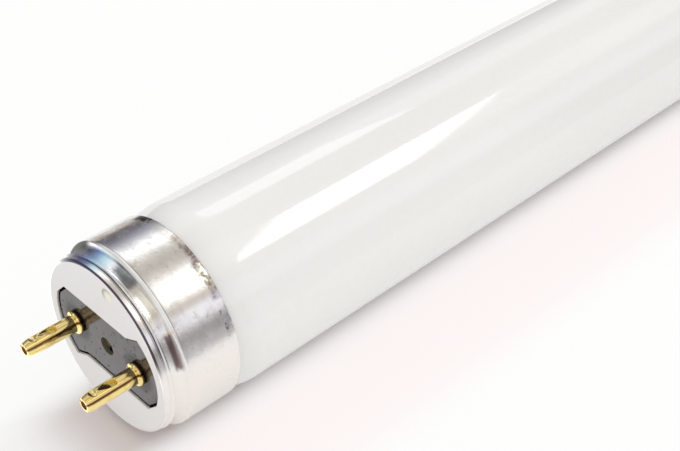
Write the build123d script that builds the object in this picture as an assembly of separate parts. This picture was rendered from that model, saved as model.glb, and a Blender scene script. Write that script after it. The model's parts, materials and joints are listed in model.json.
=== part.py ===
from build123d import *
import math
import os

# Double-ended tubular lamp, 26 mm across, with a two-pin cap on each end.
# Millimetres. The origin is the middle of the lamp, +X runs along its axis, the pins of a
# cap stand in a row along Y, and +Z is up. The near end of the lamp is the one at -X.
# Each end is modelled once, with its front face on X = 0 and the lamp towards +X.

# Whole lamp
FACE_TO_FACE = 436.6
TUBE_R = 13.0

# Contact pins
PIN_SPACING = 12.7
PIN_LENGTH = 7.5
PIN_R = 1.16
PIN_FOOT_START = 4.75
PIN_DRAFT = 0.03
SHANK_R = 1.0
NOSE_R = 0.93
NOSE_TAPER = 0.8
NOSE_EDGE_R = 0.2
NOSE_MOUTH_R = 0.6
NOSE_MOUTH_DEPTH = 0.3
NOSE_MOUTH_FLOOR_R = 0.4
COLLAR_BEAD_R = 1.5
COLLAR_BEAD_WIDTH = 0.44
COLLAR_NECK = 0.06
FLANGE_R = 1.62
FLANGE_THICKNESS = 0.24
FLANGE_EDGE = 0.08
RIVET_R = 1.85
RIVET_THICKNESS = 0.5
RIVET_FLAT_R = 0.7

# Crimps pressed into the upper and lower side of each pin, as distances from its tip
CRIMP_WIDTH = 1.4
CRIMP_CORNER_R = 0.6
CRIMP_HEEL_LEAN = 0.5
LONG_CRIMP_START = 2.3
LONG_CRIMP_END = 4.6
LONG_CRIMP_DEPTH = 0.52
SHORT_CRIMP_START = 0.8
SHORT_CRIMP_END = 1.95
SHORT_CRIMP_DEPTH = 0.3

# Cap shell, drawn from aluminium sheet
SHELL_WALL = 0.35
SKIRT_BELOW_TUBE = 0.15
RIM_BELOW_SKIRT = 0.85
RIM_EDGE_R = 0.25
RIM_INNER_EDGE_R = 0.1
GROOVE_AT = 0.92
GROOVE_DEPTH = 0.18
BEAD_AT = 1.2
BEAD_HEIGHT = 0.24
BEAD_WIDTH = 0.44
BAND_HOLLOW = 0.08
SHOULDER_START = 2.63
SHOULDER_LENGTH = 0.85
CAP_LENGTH = 10.78

# Stakes punched into the face to hold the plate
STAKE_Y = 2.3
STAKE_TO_RIM = 2.3
STAKE_R = 0.9
STAKE_DEPTH = 0.35

# Opening in the cap's face
OPENING_HALF_HEIGHT = 4.9
OPENING_TO_RIM = 1.6
END_ARC_R = 7.8
CORNER_CUT_Y = 7.9
CORNER_CUT_Z = 3.0
FLARE_START_Y = 5.0
FLARE_TIP_Z = 6.1

# Insulator plate
PLATE_THICKNESS = 1.85
PLATE_RIM_CLEARANCE = 0.12
BOSS_RECESS = 0.25
BOSS_CLEARANCE = 0.25
BOSS_MOAT_DEPTH = 0.9
BOSS_EDGE_R = 0.12
PLATE_DIMPLE_R = 1.25
PLATE_DIMPLE_DEPTH = 0.6
PIN_HOLE_CLEARANCE = 0.04
STAKE_CLEARANCE = 0.08

# Ends of the glass
NECK_START = 5.0
NECK_CORNER_R = 1.4
NECK_LIP = 1.35
SHOULDER_IN_CAP = 0.9
GLASS_SHOULDER_LENGTH = 5.0
FLARE_MOUTH_SLOPE = 0.35
STEM_BORE_R = 4.0
STEM_FLARE_END = 11.5
STEM_BOTTOM = 23.0
EXHAUST_R = 1.6
EXHAUST_TIP_AT = 9.0

# Capping cement between the skirt and the neck
CEMENT_WALL = 0.35
CEMENT_START = 6.4
CEMENT_RECESS = 0.12

# Lead wires
WIRE_R = 0.3
WIRE_STEM_Y = 2.75
WIRE_LEAVES_STEM_AT = 8.6
WIRE_BEHIND_RIVET = 2.6
WIRE_BEND_SHARE = 0.45

# Sizes worked out from those above
HALF_SPACING = PIN_SPACING / 2
SKIRT_R = TUBE_R - SKIRT_BELOW_TUBE
SKIRT_INNER_R = SKIRT_R - SHELL_WALL
RIM_R = SKIRT_R - RIM_BELOW_SKIRT
STAKE_Z = RIM_R - STAKE_TO_RIM
END_ARC_CENTRE = RIM_R - OPENING_TO_RIM - END_ARC_R
PLATE_FRONT = SHELL_WALL
PLATE_BACK = PLATE_FRONT + PLATE_THICKNESS
GROOVE_BOTTOM_R = RIM_R - GROOVE_DEPTH
PLATE_R = GROOVE_BOTTOM_R - SHELL_WALL - PLATE_RIM_CLEARANCE
BOSS_FLOOR = BOSS_RECESS + BOSS_MOAT_DEPTH
SHOULDER_END = SHOULDER_START + SHOULDER_LENGTH
NECK_R = SKIRT_INNER_R - CEMENT_WALL
FLARE_MOUTH_R = NECK_R - NECK_CORNER_R - NECK_LIP
GLASS_SHOULDER_START = CAP_LENGTH - SHOULDER_IN_CAP
GLASS_SHOULDER_END = GLASS_SHOULDER_START + GLASS_SHOULDER_LENGTH
FLANGE_FRONT = BOSS_RECESS - FLANGE_THICKNESS
BEAD_BACK = FLANGE_FRONT - COLLAR_NECK
BEAD_FRONT = BEAD_BACK - COLLAR_BEAD_WIDTH
RIVET_BACK = PLATE_BACK + RIVET_THICKNESS
CEMENT_END = CAP_LENGTH - CEMENT_RECESS
STAKE_CENTRE = STAKE_DEPTH - STAKE_R
STAKE_BACK_R = STAKE_R + SHELL_WALL
STAKE_POCKET_DEPTH = STAKE_CENTRE + STAKE_BACK_R + STAKE_CLEARANCE
STAKE_POCKET_R = STAKE_CLEARANCE + math.sqrt(STAKE_BACK_R**2 - (PLATE_FRONT - STAKE_CENTRE) ** 2)
PIN_TIP = -PIN_LENGTH

LOOKING_INWARD = Plane(origin=(0, 0, 0), x_dir=(0, 1, 0), z_dir=(1, 0, 0))


def turned(*edges):
    """A solid turned about the lamp's axis from a closed outline of (depth, radius)."""
    return revolve(make_face(Wire(edges)), Axis.X)


def run(*points):
    """Straight edges through the points."""
    return Polyline(*points).edges()


def smooth_step(start, end):
    """Two arcs, one turned against the other, that leave and arrive along the axis."""
    middle = ((start[0] + end[0]) / 2, (start[1] + end[1]) / 2)
    first = TangentArc(start, middle, tangent=(1, 0))
    return [first, TangentArc(middle, end, tangent=first % 1)]


def shell_outline(inset, edge_r):
    """The drawn sheet's outside, or its inside when inset by the wall."""
    rim = RIM_R - inset
    diagonal = edge_r * (1 - math.sqrt(0.5))
    groove = (GROOVE_AT, GROOVE_BOTTOM_R - inset)
    bead = (BEAD_AT, rim + BEAD_HEIGHT)
    band_start = (BEAD_AT + BEAD_WIDTH / 2, rim)
    band_end = (SHOULDER_START, rim)
    band_middle = ((band_start[0] + band_end[0]) / 2, rim - BAND_HOLLOW)
    shoulder = (SHOULDER_END, SKIRT_R - inset)
    face_edge = (inset, rim - edge_r)
    rim_start = (inset + edge_r, rim)
    return [
        *run((inset, 0), face_edge),
        ThreePointArc(face_edge, (inset + diagonal, rim - diagonal), rim_start),
        *run(rim_start, (GROOVE_AT - GROOVE_DEPTH, rim), groove, bead, band_start),
        ThreePointArc(band_start, band_middle, band_end),
        *smooth_step(band_end, shoulder),
        *run(shoulder, (CAP_LENGTH, SKIRT_R - inset), (CAP_LENGTH, 0), (inset, 0)),
    ]


def end_arc_y(height):
    """Distance from the middle to the opening's end arc at a height."""
    return END_ARC_CENTRE + math.sqrt(END_ARC_R**2 - height**2)


def opening_outline():
    """The opening in the face: flat sides, round ends, two cut and two flared corners."""
    half = []
    for side in (1, -1):
        cut_side = (side * CORNER_CUT_Y, side * OPENING_HALF_HEIGHT)
        flare_start = (-side * FLARE_START_Y, side * OPENING_HALF_HEIGHT)
        flare_tip = (-side * end_arc_y(FLARE_TIP_Z), side * FLARE_TIP_Z)
        arc_middle = (-side * (END_ARC_CENTRE + END_ARC_R), 0)
        cut_end = (-side * end_arc_y(CORNER_CUT_Z), -side * CORNER_CUT_Z)
        next_side = (-side * CORNER_CUT_Y, -side * OPENING_HALF_HEIGHT)
        half += run(cut_side, flare_start, flare_tip)
        half.append(ThreePointArc(flare_tip, arc_middle, cut_end))
        half += run(cut_end, next_side)
    return make_face(Wire(half))


def prism(outline, start, end):
    """The outline, drawn looking inward, from one depth to another."""
    placed = LOOKING_INWARD.offset(start) * outline
    return extrude(placed, amount=end - start, dir=(1, 0, 0))


def rod(radius, start, end, y=0.0, z=0.0):
    """A round bar along the axis."""
    centre = (start + (end - start) / 2, y, z)
    return Pos(*centre) * Rot(0, 90, 0) * Cylinder(radius, end - start)


def stake_ball(extra):
    """Balls whose caps are the two stakes, grown by an extra radius."""
    return [
        Pos(STAKE_CENTRE, side * STAKE_Y, -side * STAKE_Z) * Rot(0, 0, 180) * Sphere(STAKE_R + extra)
        for side in (1, -1)
    ]


def cap_shell():
    """Drawn shell with its opening and the two stakes."""
    shell = turned(*shell_outline(0, RIM_EDGE_R))
    shell -= turned(*shell_outline(SHELL_WALL, RIM_INNER_EDGE_R))
    inside = rod(SKIRT_R, SHELL_WALL / 2, CAP_LENGTH)
    for ball in stake_ball(SHELL_WALL):
        shell += ball & inside
    for ball in stake_ball(0):
        shell -= ball
    return shell - prism(opening_outline(), -SHELL_WALL, 2 * SHELL_WALL)


def insulator_plate():
    """Moulded disc with a raised boss in the opening, and a hole for each pin."""
    plate = rod(PLATE_R, PLATE_FRONT, PLATE_BACK)
    plate -= prism(opening_outline(), 0, BOSS_FLOOR)
    boss = prism(offset(opening_outline(), -BOSS_CLEARANCE), BOSS_RECESS, BOSS_FLOOR)
    front_edges = boss.faces().sort_by(Axis.X)[0].edges()
    plate += chamfer(front_edges, BOSS_EDGE_R)
    for side in (1, -1):
        plate -= rod(SHANK_R + PIN_HOLE_CLEARANCE, 0, 2 * PLATE_BACK, side * HALF_SPACING)
        plate -= rod(STAKE_POCKET_R, 0, STAKE_POCKET_DEPTH, side * STAKE_Y, -side * STAKE_Z)
    return plate - rod(PLATE_DIMPLE_R, 0, BOSS_RECESS + PLATE_DIMPLE_DEPTH)


def crimp_tool(start, end, depth):
    """A punch with a steep heel towards the cap and a ramp towards the tip."""
    heel = PIN_TIP + end
    toe = PIN_TIP + start
    top = 2 * PIN_R
    floor = PIN_R - depth
    heel_foot = heel - CRIMP_HEEL_LEAN * depth
    ramp = run((toe, top), (toe, PIN_R), (heel_foot, floor))
    outline = ramp + run((heel_foot, floor), (heel, PIN_R), (heel, top), (toe, top))
    side_view = Plane(origin=(0, 0, 0), x_dir=(1, 0, 0), z_dir=(0, -1, 0))
    punch = extrude(side_view * make_face(Wire(outline)), amount=CRIMP_WIDTH / 2, both=True)
    ends = punch.edges().filter_by(Axis.Z).group_by(Axis.X)[-1]
    return fillet(ends, CRIMP_CORNER_R)


def contact_pin():
    """Pin on the axis: nose, crimped barrel, collar, shank and riveted tail.

    The wire is squeezed and soldered into the pin, so its last stretch is one with it. Its end
    is cut off level with the tip.
    """
    nose_end = PIN_TIP + NOSE_TAPER
    mouth_floor = PIN_TIP + NOSE_MOUTH_DEPTH
    bead_middle = (BEAD_FRONT + BEAD_BACK) / 2
    barrel = [
        *run(
            (PIN_TIP, 0),
            (PIN_TIP, WIRE_R),
            (mouth_floor, WIRE_R),
            (mouth_floor, NOSE_MOUTH_FLOOR_R),
            (PIN_TIP, NOSE_MOUTH_R),
            (PIN_TIP, NOSE_R - NOSE_EDGE_R),
            (PIN_TIP + NOSE_EDGE_R, NOSE_R),
            (nose_end, PIN_R - PIN_DRAFT),
            (PIN_TIP + PIN_FOOT_START, PIN_R),
            (BEAD_FRONT, PIN_R),
        ),
        ThreePointArc((BEAD_FRONT, PIN_R), (bead_middle, COLLAR_BEAD_R), (BEAD_BACK, PIN_R)),
        *run(
            (BEAD_BACK, PIN_R),
            (BEAD_BACK, SHANK_R),
            (FLANGE_FRONT, SHANK_R),
            (FLANGE_FRONT, FLANGE_R - FLANGE_EDGE),
            (FLANGE_FRONT + FLANGE_EDGE, FLANGE_R),
            (BOSS_RECESS, FLANGE_R),
            (BOSS_RECESS, SHANK_R),
            (PLATE_BACK, SHANK_R),
            (PLATE_BACK, RIVET_R),
        ),
        TangentArc((RIVET_BACK, RIVET_FLAT_R), (PLATE_BACK, RIVET_R), tangent=(0, 1)),
        *run((RIVET_BACK, RIVET_FLAT_R), (RIVET_BACK, 0), (PIN_TIP, 0)),
    ]
    pin = turned(*barrel)
    for punch in (
        crimp_tool(LONG_CRIMP_START, LONG_CRIMP_END, LONG_CRIMP_DEPTH),
        crimp_tool(SHORT_CRIMP_START, SHORT_CRIMP_END, SHORT_CRIMP_DEPTH),
    ):
        pin -= punch
        pin -= Rot(180, 0, 0) * punch
    return pin


def lead_wire():
    """Nickel-iron wire from the stem to the tail of the pin on the +Y side."""
    route = [
        (STEM_BOTTOM, WIRE_STEM_Y, 0),
        (WIRE_LEAVES_STEM_AT, WIRE_STEM_Y, 0),
        (RIVET_BACK + WIRE_BEHIND_RIVET, HALF_SPACING, 0),
        (RIVET_BACK, HALF_SPACING, 0),
    ]
    middle = Vector(route[2]) - Vector(route[1])
    turn = math.radians(middle.get_angle(Vector(-1, 0, 0)))
    bend = WIRE_BEND_SHARE * middle.length / math.tan(turn / 2)
    path = FilletPolyline(*route, radius=bend)
    return sweep(Plane(origin=path @ 0, z_dir=path % 0) * Circle(WIRE_R), path=path)


def glass_shoulder():
    """Outline of the glass from its neck to its full width."""
    return smooth_step((GLASS_SHOULDER_START, NECK_R), (GLASS_SHOULDER_END, TUBE_R))


def glass_tube():
    """Sealed tube as one solid: necked ends, stem flares and sealed exhaust tips."""
    half = FACE_TO_FACE / 2
    corner = NECK_CORNER_R
    diagonal = corner * (1 - math.sqrt(0.5))
    flare_mouth = (NECK_START, FLARE_MOUTH_R)
    neck_edge = (NECK_START, NECK_R - corner)
    neck_top = (NECK_START + corner, NECK_R)
    stem_top = (STEM_FLARE_END, STEM_BORE_R)
    tip = (EXHAUST_TIP_AT, 0)
    tip_side = (EXHAUST_TIP_AT + EXHAUST_R, EXHAUST_R)
    tip_middle = (EXHAUST_TIP_AT + EXHAUST_R * (1 - math.sqrt(0.5)), EXHAUST_R * math.sqrt(0.5))
    outline = [
        ThreePointArc(tip, tip_middle, tip_side),
        *run(tip_side, (STEM_BOTTOM, EXHAUST_R), (STEM_BOTTOM, STEM_BORE_R), stem_top),
        Spline(stem_top, flare_mouth, tangents=((-1, 0), (-FLARE_MOUTH_SLOPE, 1))),
        *run(flare_mouth, neck_edge),
        ThreePointArc(neck_edge, (NECK_START + diagonal, NECK_R - diagonal), neck_top),
        *run(neck_top, (GLASS_SHOULDER_START, NECK_R)),
        *glass_shoulder(),
        *run((GLASS_SHOULDER_END, TUBE_R), (half, TUBE_R), (half, 0), tip),
    ]
    end = Pos(-half, 0, 0) * turned(*outline)
    return end + Rot(0, 0, 180) * end


def cement_ring():
    """Band of cement that fills the skirt around the glass neck."""
    neck = turned(
        *run((0, 0), (0, NECK_R), (GLASS_SHOULDER_START, NECK_R)),
        *glass_shoulder(),
        *run((GLASS_SHOULDER_END, TUBE_R), (GLASS_SHOULDER_END, 0), (0, 0)),
    )
    return rod(SKIRT_INNER_R, CEMENT_START, CEMENT_END) - neck


def end_pieces():
    """Every piece of one end, by name."""
    pin = contact_pin()
    wire = lead_wire()
    return {
        "cap_shell": cap_shell(),
        "insulator_plate": insulator_plate(),
        "cement_ring": cement_ring(),
        "contact_pin_a": Pos(0, HALF_SPACING, 0) * pin,
        "contact_pin_b": Pos(0, -HALF_SPACING, 0) * pin,
        "lead_wire_a": wire,
        "lead_wire_b": Rot(180, 0, 0) * wire,
    }


def lamp():
    """All nodes in the lamp's own frame."""
    near = Pos(-FACE_TO_FACE / 2, 0, 0)
    far = Rot(0, 0, 180) * near
    nodes = {"glass_tube": glass_tube()}
    for name, solid in end_pieces().items():
        nodes[f"near_{name}"] = near * solid
        nodes[f"far_{name}"] = far * solid
    return nodes


os.makedirs("parts", exist_ok=True)
for node, solid in lamp().items():
    export_step(solid, f"parts/{node}.step")
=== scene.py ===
import json
import math

import bpy
from bpy.props import FloatProperty, FloatVectorProperty, IntProperty, PointerProperty
from bpy.types import Operator, Panel, PropertyGroup
from mathutils import Matrix, Vector


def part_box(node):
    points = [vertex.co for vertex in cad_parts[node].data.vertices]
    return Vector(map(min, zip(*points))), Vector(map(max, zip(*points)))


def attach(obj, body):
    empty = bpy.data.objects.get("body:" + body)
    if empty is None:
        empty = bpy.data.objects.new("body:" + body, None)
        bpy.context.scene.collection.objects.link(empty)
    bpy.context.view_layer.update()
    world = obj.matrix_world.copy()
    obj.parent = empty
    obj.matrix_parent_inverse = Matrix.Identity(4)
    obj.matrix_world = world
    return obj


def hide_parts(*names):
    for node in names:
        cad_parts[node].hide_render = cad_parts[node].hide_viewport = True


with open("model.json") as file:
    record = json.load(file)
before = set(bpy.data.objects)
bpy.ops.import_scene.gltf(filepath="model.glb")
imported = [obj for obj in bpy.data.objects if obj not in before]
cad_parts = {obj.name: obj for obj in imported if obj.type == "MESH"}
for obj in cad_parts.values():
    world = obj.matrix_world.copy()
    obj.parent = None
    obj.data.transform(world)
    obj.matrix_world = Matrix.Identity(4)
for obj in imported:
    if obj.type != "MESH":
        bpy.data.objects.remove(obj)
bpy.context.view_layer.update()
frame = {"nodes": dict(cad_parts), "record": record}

bl_info = {
    "name": "Tubular lamp",
    "version": (1, 0, 0),
    "blender": (4, 5, 0),
    "location": "3D View > Sidebar > Lamp",
    "description": "Dresses a packed double-ended tubular lamp: glass, end caps, pins, plates and stage",
    "category": "Add Mesh",
}

MM = 0.001
BODY = "root"
MOUNTS = {mount["name"]: mount for mount in frame["record"]["mounts"]}
TUBE_R = MOUNTS["tube_body"]["dims"]["r_mm"] * MM
PIN_R = MOUNTS["near_pin_a"]["dims"]["r_mm"] * MM
PIN_SPACING = 2 * MOUNTS["near_pin_a"]["pos_m"][1]
FACE_X = -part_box("near_cap_shell")[0][0]
CAP_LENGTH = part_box("near_cap_shell")[1][0] + FACE_X
SKIRT_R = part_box("near_cap_shell")[1][1]
PIN_LENGTH = -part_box("near_contact_pin_a")[0][0] - FACE_X
GLASS_END = -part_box("glass_tube")[0][0]
ENDS = {"near": 1, "far": -1}


# Properties

def length(name, description, value, **limits):
    """A property for a length in metres."""
    return FloatProperty(
        name=name, description=description, default=value, min=0.0, precision=6, unit="LENGTH", **limits
    )


def share(name, description, value):
    """A property between 0 and 1."""
    return FloatProperty(
        name=name, description=description, default=value, min=0.0, max=1.0, subtype="FACTOR"
    )


def brightness(name, description, value):
    """A property for the brightness of a light."""
    return FloatProperty(name=name, description=description, default=value)


def colour(name, description, value):
    """A property for a colour."""
    return FloatVectorProperty(
        name=name, description=description, default=value, size=3, min=0.0, max=1.0, subtype="COLOR"
    )


class GlassTubeSettings(PropertyGroup):
    half_length: length("Half length", "From the lamp's middle to the end of the glass", GLASS_END)
    radius: length("Radius", "Outside radius of the tube", TUBE_R)
    neck_radius: length("Neck radius", "Outside radius inside the caps", 12.15 * MM)
    neck_round: length("Neck round", "Radius of the rounded end of the neck", 1.4 * MM)
    shoulder_start: length("Shoulder start", "From the end of the glass to its shoulder", 4.88 * MM)
    shoulder_length: length("Shoulder length", "Length over which the neck widens", 5.0 * MM)
    rings: IntProperty(name="Rings", description="Rings along the tube", default=401, min=9)
    segments: IntProperty(name="Segments", description="Points round the tube", default=128, min=12)
    coating: colour("Coating", "Colour of the white coating behind the glass", (0.88, 0.875, 0.86))
    roughness: share("Roughness", "Roughness of the glass surface", 0.06)


class CapSettings(PropertyGroup):
    wall: length("Wall", "Thickness of the sheet", 0.35 * MM)
    rim_radius: length("Rim radius", "Radius of the bands between the face and the skirt", 12.0 * MM)
    rim_edge: length("Rim edge", "Radius of the edge round the face", 0.25 * MM)
    groove_at: length("Groove", "Depth of the groove's floor behind the face", 0.92 * MM)
    groove_depth: length("Groove depth", "Depth of the groove", 0.18 * MM)
    bead_at: length("Bead", "Depth of the bead's crest behind the face", 1.2 * MM)
    bead_height: length("Bead height", "Height of the bead over the rim", 0.24 * MM)
    bead_width: length("Bead width", "Width of the bead", 0.44 * MM)
    band_hollow: length("Band hollow", "Hollow of the band behind the bead", 0.08 * MM)
    shoulder_start: length("Shoulder start", "Where the shoulder leaves the band", 2.63 * MM)
    shoulder_length: length("Shoulder length", "Length of the shoulder", 0.85 * MM)
    skirt_radius: length("Skirt radius", "Outside radius of the skirt", SKIRT_R)
    depth: length("Depth", "Length of the cap", CAP_LENGTH)
    stake_y: length("Stake sideways", "Distance of a stake from the upright middle line", 2.3 * MM)
    stake_z: length("Stake height", "Distance of a stake from the level middle line", 9.7 * MM)
    stake_radius: length("Stake radius", "Radius of the ball that punched the stake", 0.9 * MM)
    stake_depth: length("Stake depth", "Depth of the stake", 0.35 * MM)
    half_height: length("Opening half height", "Half the height of the opening", 4.9 * MM)
    arc_centre: length("End arc centre", "Distance of the end arc's centre from the axis", 2.6 * MM)
    arc_radius: length("End arc radius", "Radius of the opening's round ends", 7.8 * MM)
    cut_y: length("Cut corner sideways", "Where a cut corner meets the flat side", 7.9 * MM)
    cut_z: length("Cut corner height", "Where a cut corner meets the round end", 3.0 * MM)
    flare_y: length("Flare start", "Where a flared corner leaves the flat side", 5.0 * MM)
    flare_z: length("Flare height", "Where a flared corner meets the round end", 6.1 * MM)
    columns: IntProperty(name="Columns", description="Points round the cap", default=360, min=24)
    metal: colour("Aluminium", "Colour of the bare aluminium", (0.92, 0.91, 0.9))
    matt: colour("Matt face", "Colour of the matt face", (0.85, 0.84, 0.835))
    skirt_roughness: share("Skirt roughness", "Roughness of the drawn side", 0.19)
    face_roughness: share("Face roughness", "Roughness of the matt face", 0.5)


class PinSettings(PropertyGroup):
    spacing: length("Spacing", "Distance between the two pins of a cap", PIN_SPACING)
    radius: length("Radius", "Radius of the barrel", PIN_R)
    reach: length("Length", "Length of a pin in front of the face", PIN_LENGTH)
    draft: length("Draft", "Radius that the crimped stretch loses towards the nose", 0.03 * MM)
    shank_radius: length("Shank radius", "Radius of the pin inside the plate", 1.0 * MM)
    nose_radius: length("Nose radius", "Radius of the tip", 0.93 * MM)
    nose_taper: length("Nose taper", "Length of the tapered nose", 0.8 * MM)
    mouth_radius: length("Mouth radius", "Radius of the opening in the tip", 0.6 * MM)
    mouth_depth: length("Mouth depth", "Depth of the opening in the tip", 0.3 * MM)
    wire_radius: length("Wire radius", "Radius of the wire's end in the mouth", 0.3 * MM)
    collar_radius: length("Collar radius", "Radius of the rounded collar at the foot", 1.6 * MM)
    collar_width: length("Collar width", "Width of the collar in front of the plate", 0.74 * MM)
    seat: length("Seat", "Depth of the plate's boss behind the face", 0.25 * MM)
    tail_end: length("Tail end", "Depth of the riveted tail behind the face", 2.7 * MM)
    tail_radius: length("Tail radius", "Radius of the riveted tail", 1.85 * MM)
    foot_start: length("Foot start", "Distance from the tip to the round foot", 4.75 * MM)
    crimp_half_width: length("Crimp half width", "Half the width of a crimp", 0.7 * MM)
    segments: IntProperty(name="Segments", description="Points round a pin", default=120, min=12)
    brass: colour("Brass", "Colour of the brass", (0.99, 0.8, 0.35))
    roughness: share("Roughness", "Roughness of the brass", 0.07)


class PlateSettings(PropertyGroup):
    plastic: colour("Plastic", "Colour of the moulded plate", (0.03, 0.022, 0.026))
    roughness: share("Roughness", "Roughness of the plate", 0.13)
    cement: colour("Cement", "Colour of the capping cement", (0.55, 0.5, 0.42))
    wire: colour("Wire", "Colour of the lead wires", (0.55, 0.52, 0.48))


class StageSettings(PropertyGroup):
    floor: colour("Floor", "Colour of the floor", (0.97, 0.968, 0.965))
    floor_size: length("Floor size", "Length of a side of the floor", 6.0)
    surround: brightness("Surround", "Strength of the even light from all sides", 0.9)
    gleam: brightness("Gleam", "Strength of the bands that gleaming surfaces see", 1.2)
    behind: brightness("Panel behind", "Brightness of the panel light behind the lamp", 1.5)
    in_front: brightness("Panel in front", "Brightness of the panel light in front", 3.8)
    sheen: brightness("Sheen", "Brightness of the floor that the plates mirror", 1.55)
    lens: FloatProperty(name="Lens", description="Focal length in millimetres", default=63.07, min=1.0)


# Node helpers

class Value:
    """An output of a node. Sums with it add Math nodes to its tree."""

    def __init__(self, tree, socket):
        self.tree = tree
        self.socket = socket

    def __add__(self, other):
        return calc("ADD", self, other)

    def __sub__(self, other):
        return calc("SUBTRACT", self, other)

    def __rsub__(self, other):
        return calc("SUBTRACT", other, self)

    def __mul__(self, other):
        return calc("MULTIPLY", self, other)

    def __truediv__(self, other):
        return calc("DIVIDE", self, other)

    def __neg__(self):
        return calc("MULTIPLY", self, -1.0)

    def __abs__(self):
        return calc("ABSOLUTE", self)


def add_node(tree, kind, **settings):
    """A new node with its settings."""
    node = tree.nodes.new(kind)
    for name, value in settings.items():
        setattr(node, name, value)
    return node


def source(tree, kind, output=0, **settings):
    """Value of one output of a new node."""
    return Value(tree, add_node(tree, kind, **settings).outputs[output])


def feed(target, value):
    """Puts a Value, or a plain number or colour, into an input socket."""
    if isinstance(value, Value):
        value.tree.links.new(value.socket, target)
    else:
        target.default_value = value


def join(tree, *links):
    """Links (output, input) pairs of sockets."""
    for start, end in links:
        tree.links.new(start, end)


def calc(operation, *values, clamp=False):
    """Value of a Math node. At least one of the values is a Value."""
    tree = next(value.tree for value in values if isinstance(value, Value))
    node = add_node(tree, "ShaderNodeMath", operation=operation, use_clamp=clamp)
    for target, value in zip(node.inputs, values):
        feed(target, value)
    return Value(tree, node.outputs[0])


def larger(first, second):
    """The larger of two values."""
    return calc("MAXIMUM", first, second)


def distance(across, up):
    """Length of the line with these two sides."""
    return calc("SQRT", across * across + up * up)


def split(vector):
    """X, Y and Z of a vector."""
    node = add_node(vector.tree, "ShaderNodeSeparateXYZ")
    feed(node.inputs[0], vector)
    return [Value(vector.tree, socket) for socket in node.outputs]


def ramp(value, start, end, low=0.0, high=1.0):
    """Smooth Map Range node, clamped at both ends."""
    node = add_node(value.tree, "ShaderNodeMapRange", interpolation_type="SMOOTHSTEP")
    names = ("Value", "From Min", "From Max", "To Min", "To Max")
    for name, setting in zip(names, (value, start, end, low, high)):
        feed(node.inputs[name], setting)
    return Value(value.tree, node.outputs["Result"])


def fall(value, start, end):
    """1 before the start, falling to 0 at the end."""
    return ramp(value, start, end, 1.0, 0.0)


def window(value, start, end, edge):
    """1 between start and end, fading to 0 over an edge on each side."""
    return ramp(value, start - edge, start + edge) * fall(value, end - edge, end + edge)


def blend(share_of_second, first, second):
    """Colour Mix node."""
    node = add_node(share_of_second.tree, "ShaderNodeMix", data_type="RGBA")
    feed(node.inputs[0], share_of_second)
    for target, value in ((node.inputs[6], first), (node.inputs[7], second)):
        feed(target, value if isinstance(value, Value) else (*value, 1.0))
    return Value(share_of_second.tree, node.outputs[2])


def noise(vector, scale, detail=3.0, roughness=0.55, distortion=0.0):
    """Factor of a 3D noise texture."""
    node = add_node(vector.tree, "ShaderNodeTexNoise")
    for name, value in (("Vector", vector), ("Scale", scale), ("Detail", detail), ("Roughness", roughness),
                        ("Distortion", distortion)):
        feed(node.inputs[name], value)
    return Value(vector.tree, node.outputs["Fac"])


def stretched(vector, *scale):
    """The vector scaled along each axis."""
    node = add_node(vector.tree, "ShaderNodeMapping")
    feed(node.inputs["Vector"], vector)
    feed(node.inputs["Scale"], scale)
    return Value(vector.tree, node.outputs["Vector"])


def shades(value, stops):
    """Colour of a ramp through (value, colour) stops."""
    start, end = stops[0][0], stops[-1][0]
    node = add_node(value.tree, "ShaderNodeValToRGB")
    feed(node.inputs[0], (value - start) / (end - start))
    elements = node.color_ramp.elements
    while len(elements) < len(stops):
        elements.new(0.5)
    for stop, (place, shade) in zip(elements, stops):
        stop.position = (place - start) / (end - start)
        stop.color = (*shade, 1.0)
    return Value(value.tree, node.outputs["Color"])


def bump(height, depth, strength, below=None):
    """Normal of a Bump node."""
    node = add_node(height.tree, "ShaderNodeBump")
    for name, value in (("Strength", strength), ("Distance", depth), ("Height", height)):
        feed(node.inputs[name], value)
    if below is not None:
        feed(node.inputs["Normal"], below)
    return Value(height.tree, node.outputs["Normal"])


def tinted(tone, *shares):
    """The colour with each channel times its own share, or all times one share, up to 1."""
    shares = shares if len(shares) > 1 else shares * 3
    return tuple(min(1.0, channel * part) for channel, part in zip(tone, shares))


def new_material(name):
    """A material with a Principled shader, and its inputs and Object coordinates."""
    material = bpy.data.materials.new(name)
    material.use_nodes = True
    tree = material.node_tree
    tree.nodes.clear()
    shader = add_node(tree, "ShaderNodeBsdfPrincipled")
    output = add_node(tree, "ShaderNodeOutputMaterial")
    join(tree, (shader.outputs["BSDF"], output.inputs["Surface"]))
    return material, shader.inputs, source(tree, "ShaderNodeTexCoord", "Object")


def lamp_places(place):
    """Depth behind the nearer face and radius in millimetres, and degrees from the top to the front."""
    x, y, z = split(place)
    return (FACE_X - abs(x)) / MM, distance(y, z) / MM, calc("DEGREES", calc("ARCTAN2", -y, z))


# Finishes

def coated_glass(settings):
    """Clear glass over a white powder coating."""
    material, shader, place = new_material("coated_glass")
    depth = lamp_places(place)[0]
    cloud = noise(stretched(place, 12.0, 60.0, 60.0), 1.0, 2.0)
    powder = noise(place, 900.0, 4.0, 0.7)
    pale = tuple(settings.coating)
    body = blend(ramp(cloud * 0.7 + powder * 0.3, 0.35, 0.65), tinted(pale, 0.955), pale)
    near_cap = fall(depth, 10.4, 15.6)
    feed(shader["Base Color"], blend(near_cap * 0.35, body, (0.8, 0.795, 0.78)))
    polish = noise(place, 160.0)
    feed(shader["Roughness"], ramp(polish, 0.3, 0.7, settings.roughness * 0.7, settings.roughness * 1.4))
    feed(shader["IOR"], 1.52)
    wave = noise(stretched(place, 14.0, 45.0, 45.0), 1.0, 1.0)
    feed(shader["Normal"], bump(wave, 0.00012, 0.6))
    return material


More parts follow.
